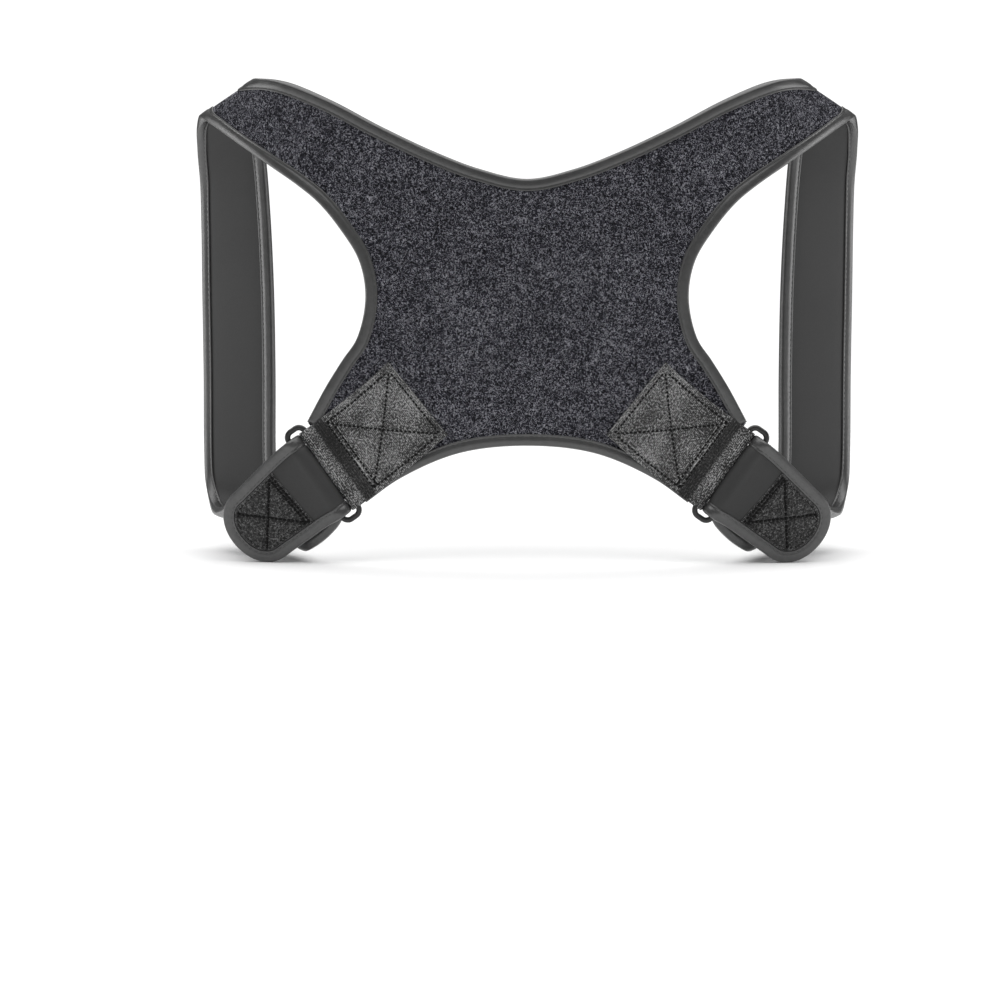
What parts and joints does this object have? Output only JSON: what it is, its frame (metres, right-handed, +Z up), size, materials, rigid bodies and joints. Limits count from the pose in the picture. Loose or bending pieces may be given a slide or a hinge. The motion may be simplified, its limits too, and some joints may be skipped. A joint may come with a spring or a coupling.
{
  "type": "posture corrector",
  "caption": "X-shaped padded back brace whose bound fabric straps loop over the shoulders and under the arms and fasten through a ring at each lower corner.",
  "frame": {"origin": "middle between the two shoulder crests, under their lining, where the part rests on the shoulders", "axes": "+X across the back, +Y from the back panel towards the chest, +Z up"},
  "size_m": [0.3678, 0.1083, 0.2609],
  "materials": {
    "brushed_loop": "brushed loop fabric, charcoal with fine curly specks",
    "smooth_lining": "smooth knitted lining, dark grey",
    "folded_binding": "folded satin binding tape with a line of stitches",
    "woven_webbing": "ribbed woven webbing, grey, box-stitched",
    "brushed_patch": "fuzzy dark grip patch, double-stitched",
    "black_plastic": "satin black moulded plastic"
  },
  "bodies": {
    "root": {"panel_face": "brushed_loop", "panel_lining": "smooth_lining", "long_binding": "folded_binding", "bottom_binding": "folded_binding", "strap_face_right": "brushed_loop", "strap_lining_right": "smooth_lining", "webbing_right": "woven_webbing", "end_patch_right": "brushed_patch", "ring_right": "black_plastic", "strap_face_left": "brushed_loop", "strap_lining_left": "smooth_lining", "webbing_left": "woven_webbing", "end_patch_left": "brushed_patch", "ring_left": "black_plastic"}
  },
  "joints": []
}
